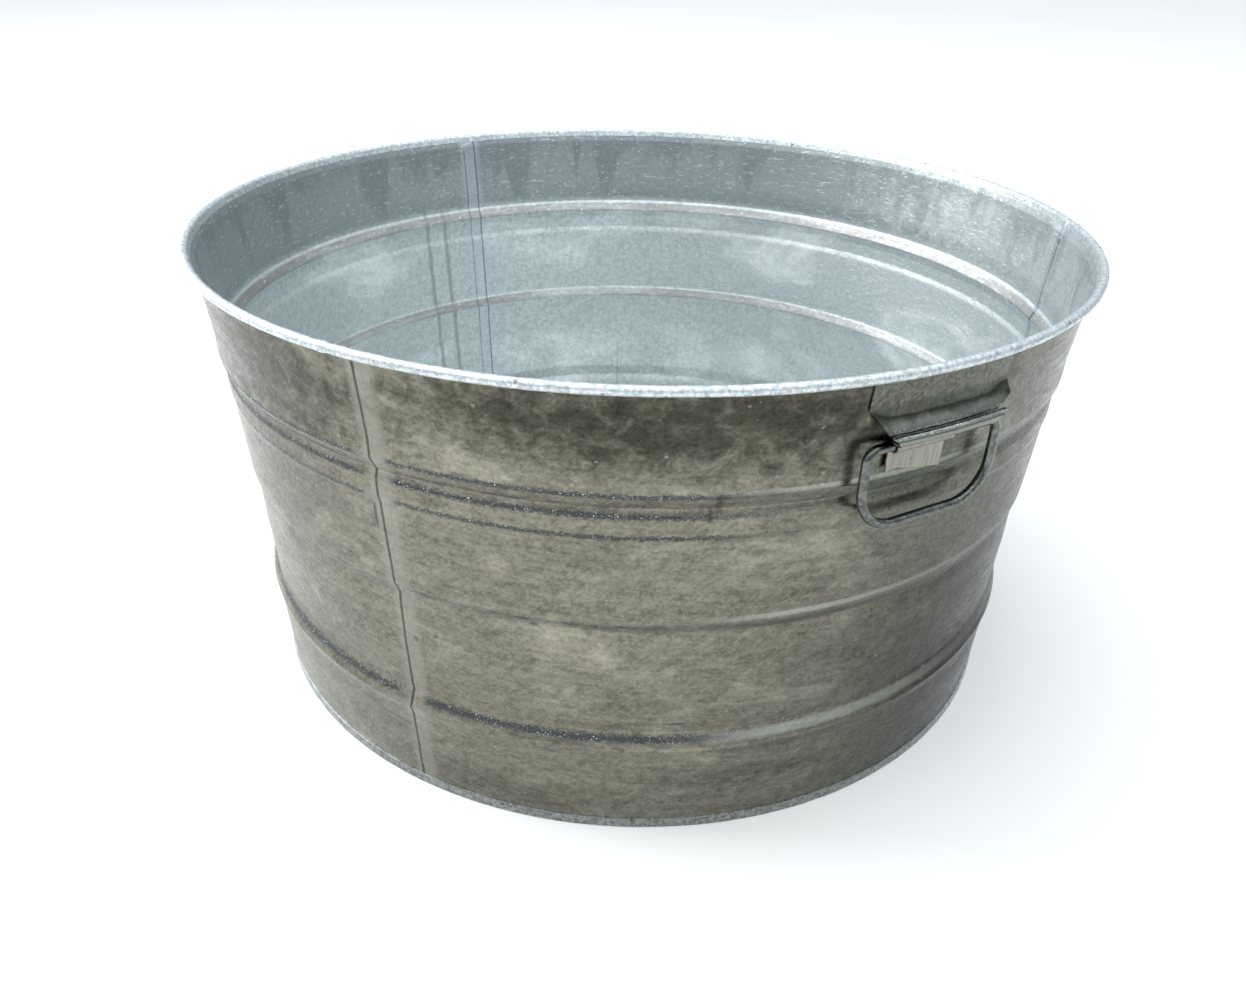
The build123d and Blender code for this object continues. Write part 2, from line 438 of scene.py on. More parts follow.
def make_patch_group():
    """A soft patch with torn edges at one place."""
    floats = ("Around", "Height", "Middle", "Level", "Width", "Tall")
    tree, into, out = group("patch", "Flat", floats, "Mask")
    across = maths(tree, "DIVIDE", less(tree, into["Around"], into["Middle"]), into["Width"])
    up = maths(tree, "DIVIDE", less(tree, into["Height"], into["Level"]), into["Tall"])
    square = plus(tree, times(tree, across, across), times(tree, up, up))
    torn = cloud(tree, into["Flat"], 90.0, 5.0, 0.65, 0.5)
    edge = plus(tree, square, times(tree, less(tree, torn, 0.5), 2.6))
    tree.links.new(spread(tree, edge, 1.25, -0.1), out["Mask"])


def make_crease_group():
    """A broken line along a crease at one height, that stops short of the seams: rough zinc and painted
    crease shade on the beads, and a painted highlight on the hood's lip.
    """
    floats = ("Height", "Seam", "Level", "Width", "Share")
    tree, into, out = group("crease_line", "Flat", floats, "Mask")
    ragged = cloud(tree, stretched(tree, into["Flat"], 420, 700, 1), 1.0, 4.0, 0.8)
    wander = times(tree, less(tree, ragged, 0.5), 9.0)
    off = away(tree, plus(tree, into["Height"], wander), into["Level"])
    line = spread(tree, maths(tree, "DIVIDE", off, into["Width"]), 1.25, 0.45)
    gaps = cloud(tree, stretched(tree, into["Flat"], 16, 60, 1), 1.0, 5.0, 0.7)
    low = less(tree, 0.72, times(tree, into["Share"], 0.55))
    kept = spread(tree, gaps, low, plus(tree, low, 0.14))
    grit = cloud(tree, into["Flat"], 900.0, 2.0, 0.6)
    kept = times(tree, kept, spread(tree, grit, 0.36, 0.50, 0.25, 1.0))
    clear = spread(tree, maths(tree, "ABSOLUTE", into["Seam"]), 6.0, 13.0)
    tree.links.new(times(tree, times(tree, line, kept), clear), out["Mask"])


def make_run_group():
    """Zinc runs that hang down from a height, each of its own length."""
    tree, into, out = group("runs", "Flat", ("Height", "From", "Longest"), "Mask")
    lanes = cloud(tree, stretched(tree, into["Flat"], 40, 5, 1), 1.0, 3.0, 0.55, 0.4)
    length = times(tree, spread(tree, lanes, 0.42, 0.72), into["Longest"])
    depth = less(tree, into["From"], into["Height"])
    soft = cloud(tree, into["Flat"], 130.0, 4.0, 0.6)
    depth = plus(tree, depth, times(tree, less(tree, soft, 0.5), 16.0))
    tree.links.new(spread(tree, less(tree, length, depth), -16.0, 12.0), out["Mask"])


def make_speck_group():
    """Sparse small round specks."""
    tree, into, out = group("specks", "Vector", ("Spacing", "Share"), "Mask")
    scale = maths(tree, "DIVIDE", 1 / MM, into["Spacing"])
    cells = node(tree, "ShaderNodeTexVoronoi", Vector=into["Vector"], Scale=scale)
    chance = node(tree, "ShaderNodeSeparateColor", Color=cells.outputs["Color"]).outputs[1]
    size = spread(tree, chance, 1.0, less(tree, 1.0, into["Share"]), 0.3, 0.0)
    tree.links.new(spread(tree, less(tree, size, cells.outputs["Distance"]), 0.0, 0.06), out["Mask"])


make_place_group()
make_crystal_group()
make_wipe_group()
make_smudge_group()
make_patch_group()
make_crease_group()
make_run_group()
make_speck_group()


# Zinc on the wall; places are millimetres round from the first seam and up from the floor

# Dark patches outside, painted shade and painted dark reflection mixed with soiling: around, height, half
# width, half height, strength
SHADE_AND_SOIL_PATCHES = [
    (170.0, 272.0, 185.0, 34.0, 0.95),
    (-140.0, 262.0, 190.0, 40.0, 0.85),
    (480.0, 210.0, 160.0, 120.0, 0.88),
    (430.0, 95.0, 150.0, 110.0, 0.72),
    (-110.0, 190.0, 90.0, 70.0, 0.36),
    (-420.0, 262.0, 120.0, 22.0, 0.5),
    (60.0, 20.0, 90.0, 16.0, 0.30),
    (215.0, 40.0, 60.0, 9.0, 0.30),
]
# Broken dark lines on the beads, rough zinc in the wider ones and painted crease shade in the thin ones:
# height, half width, share of the line that is there
BEAD_LINES = [
    (231.0, 1.3, 0.85),
    (218.5, 1.5, 0.82),
    (206.5, 1.4, 0.82),
    (149.0, 1.1, 0.5),
    (69.5, 2.4, 0.95),
    (224.8, 0.5, 0.5),
    (127.0, 0.5, 0.3),
    (80.0, 0.6, 0.35),
    (57.0, 0.6, 0.35),
]
# Stretch of the beads with clean creases, without those lines: around, half width, half width with its ends
CLEAN_BEAD_STRETCH = (330.0, 105.0, 175.0)
# Painted shade in the hollows and painted highlights on the edges of the beads there: height, half width,
# strength, colour
BEAD_LIGHT_AND_SHADE_BANDS = [
    (147.0, 3.0, 0.55, (0.05, 0.052, 0.045)),
    (60.0, 3.5, 0.5, (0.05, 0.052, 0.045)),
    (221.0, 2.0, 0.4, (0.06, 0.062, 0.055)),
    (154.0, 2.4, 0.45, (0.50, 0.52, 0.47)),
    (69.0, 4.0, 0.50, (0.50, 0.52, 0.48)),
    (232.5, 1.8, 0.35, (0.48, 0.50, 0.46)),
]
# Dark flaws by the front seam and on the upper bead: around, height, half width, half height
FLAWS = [
    (-4.5, 194.0, 1.3, 9.0),
    (172.0, 227.0, 3.0, 8.0),
    (168.0, 219.0, 2.5, 5.0),
]
# Inside: heights of the ribs' slopes that carry a painted warm reflection, and the drips beside a seam as
# around and top
RIB_SLOPES = [225.4, 147.0]
INNER_DRIPS = [(-531.0, 232.0), (-514.0, 240.0)]


def metal(name):
    """A new material with its tree and its Principled node, set up as bare metal."""
    material = bpy.data.materials.new(name)
    material.use_nodes = True
    tree = material.node_tree
    shader = tree.nodes["Principled BSDF"]
    shader.inputs["Metallic"].default_value = 1.0
    return material, tree, shader


def object_place(tree):
    """The Object coordinates, in metres."""
    return tree.nodes.new("ShaderNodeTexCoord").outputs["Object"]


def patch(tree, place, middle, level, width, tall):
    """A torn patch's mask, at a place on the wall."""
    made = use(
        tree, "patch", Flat=place["Flat"], Around=place["Around"], Height=place["Height"], Middle=middle,
        Level=level, Width=width, Tall=tall,
    )
    return made["Mask"]


def crease_line(tree, place, seam, level, width, share):
    """A broken line's mask, at a height."""
    made = use(
        tree, "crease_line", Flat=place["Flat"], Height=place["Height"], Seam=seam, Level=level,
        Width=width, Share=share,
    )
    return made["Mask"]


def specks(tree, vector, spacing, share):
    """Specks' mask; spacing is in millimetres."""
    return use(tree, "specks", Vector=vector, Spacing=spacing, Share=share)["Mask"]


def smudges(tree, flat, size, share):
    """Smudges' mask; size is in millimetres."""
    return use(tree, "smudges", Flat=flat, Size=size, Share=share)["Mask"]


def tinted(tree, colour, mask, strength, tint):
    """A colour with a tint laid over it where a mask is."""
    return mixed(tree, times(tree, mask, strength), colour, tint)


def shaded_and_soiled(tree, place, colour):
    """The wall's outside colour, darkened in patches of painted shade and dark reflection mixed with
    soiling, with painted shade at the upper left of the front and behind the bail.
    """
    masks = []
    # patches of painted shade and painted dark reflection, mixed with soiling
    for middle, level, width, tall, amount in SHADE_AND_SOIL_PATCHES:
        masks.append(times(tree, patch(tree, place, middle, level, width, tall), amount))
    colour = mixed(tree, most(tree, masks), colour, (0.25, 0.245, 0.225), "MULTIPLY")
    # painted shade darkening the upper left of the front, strongest near the rim
    corner = spread(tree, away(tree, place["Around"], -170.0), 170.0, 110.0, 0.0, 0.32)
    corner = times(tree, corner, spread(tree, place["Height"], 170.0, 248.0, 0.4, 1.0))
    colour = mixed(tree, corner, colour, (0.22, 0.23, 0.22), "MULTIPLY")
    # painted shade on the wall behind the bail
    behind = times(tree, patch(tree, place, 278.0, 228.0, 44.0, 30.0), 0.85)
    return mixed(tree, behind, colour, (0.60, 0.70, 0.67), "MULTIPLY")


def beaded(tree, place, colour):
    """The wall's outside colour with the beads' lines, rough zinc and painted crease shade, and bands of
    painted highlight and painted shade on the beads, and the lines' mask.
    """
    # rough zinc lines, with painted crease shade in the thin ones
    lines = [crease_line(tree, place, place["Seam"], *line) for line in BEAD_LINES]
    middle, inner, outer = CLEAN_BEAD_STRETCH
    lined_stretch = spread(tree, away(tree, place["Around"], middle), inner, outer)
    lines = times(tree, most(tree, lines), lined_stretch)
    colour = tinted(tree, colour, lines, 0.9, (0.05, 0.058, 0.07))
    clean_stretch = less(tree, 1.0, lined_stretch)
    # painted shade in the beads' hollows and painted highlights on their edges, in the clean stretch
    for level, half, strength, shade in BEAD_LIGHT_AND_SHADE_BANDS:
        band = spread(tree, away(tree, place["Height"], level), half, 0.3 * half, 0.0, strength)
        colour = mixed(tree, times(tree, band, clean_stretch), colour, shade)
    return colour, lines


def zinc_outside():
    """The outside of the wall: warm satin zinc kept dark as painted dark reflection, with wiping marks,
    smudges, rough creases and painted shade and highlights.
    """
    material, tree, shader = metal("zinc_outside")
    here = object_place(tree)
    place = use(tree, "place_on_tub")
    flat, along, height, seam = (place[key] for key in ("Flat", "Around", "Height", "Seam"))
    crystals = use(tree, "zinc_crystals", Vector=here, Size=1.5)
    wipes = use(tree, "wiping_marks", Flat=flat, Tilt=0.07)["Mask"]
    hatch = use(tree, "wiping_marks", Flat=stretched(tree, flat, 2.2, 1.6, 1), Tilt=-0.55)["Mask"]
    clouds = smudges(tree, flat, 42.0, 0.55)
    stains = smudges(tree, flat, 13.0, 0.42)
    mottle = cloud(tree, stretched(tree, flat, 130, 190, 1), 1.0, 6.0, 0.75, 0.6)
    mottle = spread(tree, mottle, 0.36, 0.64)
    tone = summed(
        tree, (crystals["Shade"], 0.18), (wipes, 0.20), (clouds, 0.36), (hatch, 0.10), (mottle, 0.18),
    )
    # base colours kept dark as a painted dark reflection of the surroundings
    colour = mixed(tree, tone, (0.070, 0.066, 0.051), (0.37, 0.356, 0.288))
    colour = tinted(tree, colour, stains, 0.42, (0.105, 0.102, 0.085))
    # painted shade and painted dark reflection, mixed with soiling
    colour = shaded_and_soiled(tree, place, colour)
    seam_strip = spread(tree, away(tree, seam, 3.0), 10.0, 5.0)
    colour = tinted(tree, colour, seam_strip, 0.5, (0.25, 0.242, 0.21))
    colour, lines = beaded(tree, place, colour)
    # painted shade darkening the right of the front, strongest low down
    side = times(tree, spread(tree, along, 165.0, 410.0), spread(tree, height, 235.0, 95.0, 0.52, 1.0))
    side = times(tree, side, spread(tree, along, 760.0, 600.0))
    colour = mixed(tree, side, colour, (0.15, 0.157, 0.142), "MULTIPLY")
    glints = times(tree, specks(tree, here, 1.2, 0.6), lines)
    colour = mixed(tree, glints, colour, (0.9, 0.93, 0.97))
    pits = specks(tree, here, 8.0, 0.07)
    colour = tinted(tree, colour, pits, 0.75, (0.10, 0.10, 0.09))
    flakes = specks(tree, stretched(tree, here, 1, 1, 1.4), 4.5, 0.07)
    colour = tinted(tree, colour, flakes, 0.22, (0.46, 0.45, 0.40))
    slits = [spread(tree, maths(tree, "ABSOLUTE", seam), 1.25, 0.45)]
    slits += [times(tree, patch(tree, place, *flaw), 0.85) for flaw in FLAWS]
    slit = most(tree, slits)
    colour = tinted(tree, colour, slit, 0.85, (0.045, 0.04, 0.035))
    wire(tree, shader.inputs["Base Color"], colour)
    rough = summed(
        tree, (crystals["Shade"], -0.10), (wipes, 0.12), (stains, 0.10), (lines, 0.12), (glints, -0.30),
        (seam_strip, -0.05),
    )
    wire(tree, shader.inputs["Roughness"], maths(tree, "ADD", rough, 0.31, clamp=True))
    peel = cloud(tree, here, 240.0, 2.0, 0.5)
    height_map = summed(
        tree, (crystals["Relief"], 0.34), (peel, 0.9), (wipes, 0.30), (lines, 0.8), (pits, -1.2),
        (glints, 1.0), (slit, -2.0),
    )
    wire(tree, shader.inputs["Normal"], relief(tree, height_map, 0.16))
    return material


def shaded_and_stained_band(tree, place, colour, clouds, runs):
    """The inside's colour, darkened above the upper rib by painted shade but for a lit patch, with runs and
    stains from the rim.
    """
    band = spread(tree, place["Height"], 226.0, 236.0)
    lit = patch(tree, place, 600.0, 262.0, 190.0, 80.0)
    # painted shade above the upper rib, less in the lit patch
    upper_shade = times(tree, band, summed(tree, (lit, -0.62), (clouds, 0.20), (band, 0.66)))
    colour = mixed(tree, upper_shade, colour, (0.26, 0.295, 0.31))
    colour = tinted(tree, colour, times(tree, runs, band), 0.42, (0.20, 0.23, 0.245))
    stains = smudges(tree, place["Flat"], 24.0, 0.30)
    return tinted(tree, colour, times(tree, stains, band), 0.30, (0.26, 0.30, 0.33))


def rib_reflection(tree, place):
    """The mask of an uneven painted warm reflection on the ribs' slopes."""
    ribs = [spread(tree, away(tree, place["Height"], level), 4.2, 2.4) for level in RIB_SLOPES]
    uneven = cloud(tree, stretched(tree, place["Flat"], 10, 90, 1), 1.0, 4.0, 0.6)
    return times(tree, most(tree, ribs), spread(tree, uneven, 0.3, 0.6, 0.35, 0.75))


def with_drips(tree, place, colour):
    """The inside's colour with two thin dark drips down the wall beside a seam."""
    for middle, top in INNER_DRIPS:
        bend = cloud(tree, stretched(tree, place["Flat"], 6, 14, 1), 1.0)
        wander = times(tree, less(tree, bend, 0.5), 7.0)
        off = away(tree, plus(tree, place["Around"], wander), middle)
        below = spread(tree, place["Height"], top + 6.0, top - 6.0)
        drip = times(tree, spread(tree, off, 2.6, 1.0), below)
        colour = tinted(tree, colour, drip, 0.55, (0.27, 0.30, 0.32))
    return colour


def zinc_inside():
    """The inside of the wall: pale cool zinc with fine crystals, and runs under the rim."""
    material, tree, shader = metal("zinc_inside")
    here = object_place(tree)
    place = use(tree, "place_on_tub")
    flat, height, seam = (place[key] for key in ("Flat", "Height", "Seam"))
    crystals = use(tree, "zinc_crystals", Vector=here, Size=2.6)
    clouds = smudges(tree, flat, 60.0, 0.55)
    runs = use(tree, "runs", Flat=flat, Height=height, From=284.0, Longest=46.0)["Mask"]
    tone = summed(tree, (crystals["Shade"], 0.42), (clouds, 0.58))
    colour = mixed(tree, tone, (0.53, 0.582, 0.586), (0.92, 0.96, 0.955))
    # painted shade under the rim, with runs and stains
    colour = shaded_and_stained_band(tree, place, colour, clouds, runs)
    seam_strip = spread(tree, away(tree, seam, 4.0), 11.0, 6.0)
    colour = tinted(tree, colour, seam_strip, 0.4, (0.62, 0.68, 0.72))
    # painted warm reflection on the ribs' slopes
    colour = mixed(tree, rib_reflection(tree, place), colour, (0.26, 0.242, 0.235))
    strokes = cloud(tree, stretched(tree, flat, 110, 420, 1), 1.0, 3.0, 0.6, 0.5)
    strokes = spread(tree, strokes, 0.58, 0.70)
    colour = tinted(tree, colour, strokes, 0.32, (0.93, 0.96, 0.96))
    sparks = specks(tree, stretched(tree, here, 1, 1, 1.6), 4.2, 0.5)
    colour = tinted(tree, colour, sparks, 0.45, (0.86, 0.90, 0.91))
    trails = cloud(tree, stretched(tree, flat, 260, 5, 1), 1.0, 2.0, 0.5, 0.1)
    trails = spread(tree, trails, 0.70, 0.78)
    colour = tinted(tree, colour, trails, 0.5, (0.26, 0.29, 0.31))
    colour = with_drips(tree, place, colour)
    slit = spread(tree, maths(tree, "ABSOLUTE", seam), 0.9, 0.3)
    colour = tinted(tree, colour, slit, 0.6, (0.14, 0.15, 0.16))
    wire(tree, shader.inputs["Base Color"], colour)
    rough = summed(tree, (crystals["Shade"], -0.12), (clouds, 0.06), (runs, 0.05), (sparks, -0.10))
    wire(tree, shader.inputs["Roughness"], maths(tree, "ADD", rough, 0.60, clamp=True))
    peel = cloud(tree, here, 230.0, 2.0, 0.5)
    height_map = summed(
        tree, (crystals["Relief"], 0.6), (peel, 1.3), (strokes, 0.5), (runs, 0.9), (sparks, 0.3),
        (trails, 0.5), (slit, -1.5),
    )
    wire(tree, shader.inputs["Normal"], relief(tree, height_map, 0.16))
    return material


# Zinc on the small pieces and the bottom

def awning_shade_and_highlights(tree, here, colour, lip_highlight_level):
    """A hood's colour: painted shade in the valley above, painted reflection lightening the flare, and a
    broken painted highlight along the lip's top.
    """
    place = use(tree, "place_on_tub")
    no_seam = 99.0
    # painted highlight along the top of the lip
    lip_highlight = crease_line(tree, place, no_seam, lip_highlight_level, 0.4, 0.6)
    uneven = times(tree, less(tree, cloud(tree, here, 60.0, 4.0, 0.6), 0.5), 9.0)
    above = less(tree, plus(tree, place["Height"], uneven), lip_highlight_level)
    # painted shade in the awning's valley, then painted reflection lightening the flare
    valley = spread(tree, away(tree, above, 9.0), 6.5, 2.0)
    colour = tinted(tree, colour, valley, 0.6, (0.035, 0.042, 0.034))
    colour = tinted(tree, colour, spread(tree, above, 6.0, 1.5), 0.6, (0.27, 0.285, 0.262))
    return tinted(tree, colour, lip_highlight, 0.7, (0.62, 0.64, 0.61))


def plain_zinc(name, dark, light, rough, size, bump, smudge, grain=None, lip_highlight_level=None):
    """Zinc with crystals, smudges and pits; grain stretches a fine grain that takes the crystals' place;
    the lip highlight level adds a hood's painted shade, reflection and highlight.
    """
    material, tree, shader = metal(name)
    here = object_place(tree)
    crystals = use(tree, "zinc_crystals", Vector=here, Size=size)
    stains = smudges(tree, here, 12.0, smudge)
    tone = crystals["Shade"]
    if grain:
        tone = spread(tree, cloud(tree, stretched(tree, here, *grain), 1.0, 3.0, 0.6), 0.35, 0.65)
    colour = mixed(tree, tone, dark, light)
    colour = tinted(tree, colour, stains, 0.45, tuple(0.5 * part for part in dark))
    pits = specks(tree, here, 5.0, 0.2)
    colour = tinted(tree, colour, pits, 0.6, (0.07, 0.07, 0.065))
    if lip_highlight_level:
        colour = awning_shade_and_highlights(tree, here, colour, lip_highlight_level)
    wire(tree, shader.inputs["Base Color"], colour)
    uneven = summed(tree, (tone, -0.10), (stains, 0.12))
    wire(tree, shader.inputs["Roughness"], maths(tree, "ADD", uneven, rough, clamp=True))
    height_map = summed(tree, (crystals["Relief"], 1.0), (pits, -1.0), (stains, 0.4))
    wire(tree, shader.inputs["Normal"], relief(tree, height_map, bump))
    return material


def floor_finish():
    """A plain pale floor, barely uneven in tone."""
    material = bpy.data.materials.new("pale_floor")
    material.use_nodes = True
    tree = material.node_tree
    shader = tree.nodes["Principled BSDF"]
    tone = cloud(tree, object_place(tree), 1.3)
    wire(tree, shader.inputs["Base Color"], mixed(tree, tone, (0.86, 0.85, 0.83), (0.90, 0.89, 0.87)))
    shader.inputs["Roughness"].default_value = 0.9
    return material


OUTSIDE = zinc_outside()
INSIDE = zinc_inside()
# pale zinc: painted sky reflection on the rim roll, painted highlight on the bottom's fold edge
RIM = plain_zinc("rim_zinc", (0.40, 0.44, 0.46), (0.71, 0.76, 0.78), 0.54, 1.7, 0.26, 0.3)
CHIME = plain_zinc("chime_zinc", (0.15, 0.155, 0.148), (0.33, 0.34, 0.33), 0.3, 1.7, 0.18, 0.3)
PAN = plain_zinc("bottom_zinc", (0.42, 0.455, 0.462), (0.68, 0.72, 0.728), 0.82, 2.8, 0.16, 0.25)
# the hood, with painted shade, painted reflection and a painted lip highlight
HOOD = plain_zinc(
    "hood_zinc", (0.070, 0.070, 0.056), (0.145, 0.146, 0.120), 0.25, 1.5, 0.05, 0.5, lip_highlight_level=259.3,
)
STRAP = plain_zinc(
    "strap_zinc", (0.245, 0.234, 0.194), (0.30, 0.286, 0.241), 0.45, 2.0, 0.04, 0.12, grain=(420, 420, 30),
)
BAIL = plain_zinc("bail_zinc", (0.08, 0.086, 0.079), (0.165, 0.174, 0.165), 0.24, 1.6, 0.10, 0.4)
WIRE = plain_zinc("rim_wire_steel", (0.22, 0.22, 0.22), (0.34, 0.34, 0.33), 0.4, 1.5, 0.1, 0.3)


# The wall

def shape_wall(bm):
    """Puts the dents, seam steps and rim unevenness of a dipped tub into the wall's surface."""
    for vert in bm.verts:
        place = vert.co.copy()
        out = radial(place)
        level = place.z / MM
        from_seam = around(place)
        waves = 0.30 * drift(place, 75, 1) + 0.11 * drift(place, 24, 2) + 0.035 * drift(place, 7, 3)
        waves *= fade(level, 8, 30) * fade(level, 284, 262)
        step = 0.32 * fade(from_seam, -0.2, 0.2) * fade(from_seam, 11, 8.5)
        step *= fade(level, 10, 16) * fade(level, 283, 276)
        groove = -0.30 * bell(from_seam, 0.7) * fade(level, 6, 12)
        vert.co += out * (waves + step + groove) * MM
        if level > 284.5:
            spoke = place - out * (CURL_CENTRE[0] * MM) - Vector((0, 0, CURL_CENTRE[1] * MM))
            lumps = 0.13 * drift(place, 14, 4) + 0.10 * drift(place, 5, 5) - 0.15
            lumps += 0.25 * fade(level, 289, 286) * drift(place, 22, 6)
            if level > 287:
                lumps += 0.45 * bell(from_seam + 12, 1.3) - 0.35 * bell(from_seam + 9, 1.5)
            vert.co += spoke.normalized() * lumps * MM
            vert.co.z = min(vert.co.z, (HEIGHT - SHEET) * MM)


def seam_lap(start):
    """The flange behind the seam at the end of a sheet that starts at an angle, as a mesh."""
    root, reach = LAP_ANGLES
    lap = spun(lap_line(), start + SHEET_ANGLE + root, [(reach - root, 9)])
    faced(lap, radial)
    shape_wall(lap)
    thickened(lap, SHEET)
    for face in lap.faces:
        face.material_index = 1
    mesh = bpy.data.meshes.new("lap")
    lap.to_mesh(mesh)
    lap.free()
    return mesh


def wall_sheet(index):
    """One sheet of the wall, with the flange that laps behind the next sheet."""
    start = FIRST_SEAM + index * SHEET_ANGLE + SEAM_SPLIT
    middle = SHEET_ANGLE - 2 * (SEAM_SPLIT + SEAM_EDGE + SEAM_STRIP)
    legs = [(SEAM_EDGE, 2), (SEAM_STRIP, 7), (middle, 160), (SEAM_STRIP, 7), (SEAM_EDGE, 2)]
    bm = spun(wall_line(), start, legs)
    faced(bm, radial)
    shape_wall(bm)
    for face in thickened(bm, SHEET):
        face.material_index = 1
    for face in bm.faces:
        place = face.calc_center_median()
        if place.z > 284 * MM and place.xy.length > 283.4 * MM:
            face.material_index = 2  # the rim roll, in the pale rim zinc as painted sky reflection
    lap = seam_lap(start)
    bm.from_mesh(lap)
    bpy.data.meshes.remove(lap)
    return bm


# The bottom

def bottom_pan():
    """The bottom sheet, with a pressed ring and its rim folded round the foot of the wall."""
    low = FLOOR_HEIGHT - SHEET
    line = [(0, low, 0)]
    line += [(RING_RADIUS + side, low + rise, 5) for side, rise in ((-11, 0), (-3, 2), (3, 2), (11, 0))]
    line += [(FOOT_INNER, low, 1.5), (FOOT_INNER, 0, 0.8)]
    line += [(FOOT_RADIUS, 0, 0.8), (FOOT_RADIUS, CHIME_HEIGHT, 0)]
    bm = spun(rounded(line, 7), 0, [(360, 240)])
    faced(bm, lambda place: Vector((0, 0, -1)))
    for vert in bm.verts:
        place = vert.co.copy()
        reach = place.xy.length / MM
        vert.co.z += 0.45 * drift(place, 110, 7) * fade(reach, 250, 225) * MM
        if reach > 261:
            vert.co += radial(place) * (0.14 * drift(place, 9, 8) + 0.08 * drift(place, 3, 9)) * MM
            vert.co.z += 0.35 * drift(place, 12, 10) * fade(place.z / MM, 4, 6.5) * MM
    thickened(bm, SHEET)
    for face in bm.faces:
        place = face.calc_center_median()
        if place.xy.length > 259.5 * MM:
            face.material_index = 1 if place.z > 5.4 * MM else 2  # the fold's edge in the pale rim zinc as a painted highlight, else the chime
    return bm


# The handles

def cut(bm, place, outwards):
    """Cuts away what is past a plane given by a point and a direction in the YZ plane, in millimetres."""
    geometry = bm.verts[:] + bm.edges[:] + bm.faces[:]
    plane = Vector((0, place[0], place[1])) * MM
    bmesh.ops.bisect_plane(bm, geom=geometry, plane_co=plane, plane_no=(0,) + outwards, clear_outer=True)


def hood():
    """The hood over the bail: a flange on the wall, a flared awning and a rolled lip."""
    bend = (wall_radius(HOOD_CORNERS[0]) + GAP, HOOD_CORNERS[0])
    start = tangent_angle(bend, LIP_CENTRE, LIP_CURL, 1)
    top = (wall_radius(HOOD_TOP) + GAP, HOOD_TOP, 0)
    line = [top, bend + (HOOD_BEND,), polar(LIP_CENTRE, LIP_CURL, start) + (0,)]
    points = rounded(line, 1.3) + arc(LIP_CENTRE, LIP_CURL, start, LIP_TURN, 26)
    bm = spun(points, -10, [(20.5, 76)])
    faced(bm, lambda place: -radial(place))
    (left, right), (left_corner, right_corner) = HOOD_SIDES, HOOD_CORNERS
    left_run, left_drop = LIP_ENDS[0] - left, left_corner - LIP_CUT_HEIGHT
    right_run, right_drop = right - LIP_ENDS[1], right_corner - LIP_CUT_HEIGHT
    cut(bm, (left, HEIGHT), (-1, 0))
    cut(bm, (right, HEIGHT), (1, 0))
    cut(bm, (left, left_corner), (-left_drop, -left_run))
    cut(bm, (right, right_corner), (right_drop, -right_run))
    for vert in bm.verts:
        place = vert.co.copy()
        across, level = place.y / MM, place.z / MM
        awning = fade(level, 274, 266)
        push = awning * (0.30 * drift(place, 17, 11) + 0.14 * drift(place, 6, 12) - 0.25)
        push -= 1.3 * math.sin(math.pi * fade(level, 272, 259)) * fade(abs(across), 46, 30)
        push += 2.4 * fade(across, -28, -38) * fade(level, 270, 259)
        push += 1.6 * fade(across, 33, 46) * fade(level, 270, 263)
        push += 0.22 * drift(place, 26, 13) * (1 - awning) + 0.15 * (1 - awning)
        vert.co += radial(place) * push * MM
        vert.co.z += awning * 0.5 * drift(place, 20, 14) * MM
    thickened(bm, HOOD_SHEET)
    return bm


def strap():
    """The strap round the bail's bar, with a flange on the wall above and below it."""
    reach = WIRE_RADIUS + STRAP_CLEARANCE
    high, low = STRAP_HEIGHTS
    heights = [high, PIVOT_HEIGHT + reach, PIVOT_HEIGHT - reach, low]
    top, upper, lower, bottom = [(wall_radius(z) + STRAP_STANDOFF, z) for z in heights]
    front = PIVOT_RADIUS + reach
    line = [top + (0,), upper + (0.9,), (front, upper[1], 2.6), (front, lower[1], 2.6)]
    line += [lower + (0.9,), bottom + (0,)]
    bm = spun(rounded(line, 1.2), 0, [])
    left, right = STRAP_ENDS
    steps = 24
    bmesh.ops.translate(bm, verts=bm.verts, vec=(0, left * MM, 0))
    move = (0, (right - left) * MM / steps, 0)
    line = bm.verts[:] + bm.edges[:]
    bmesh.ops.spin(bm, geom=line, cent=(0, 0, 0), axis=(0, 0, 1), dvec=move, steps=steps)
    faced(bm, lambda place: Vector((-1, 0, 0)))
    for vert in bm.verts:
        place = vert.co.copy()
        across, level = place.y / MM, place.z / MM
        corner = fade(across, -16, -26) * fade(level, 240, 231)
        vert.co.x += (0.8 * corner + 0.10 * fade(level, 247, 243) * drift(place, 14, 15)) * MM
        raised = 5.5 * min(1, max(0, (right - across) / 30)) + 0.4 * drift(place, 9, 16)
        vert.co.z += raised * min(1, max(0, (247 - level) / 16.4)) * MM
    thickened(bm, STRAP_SHEET)
    return bm


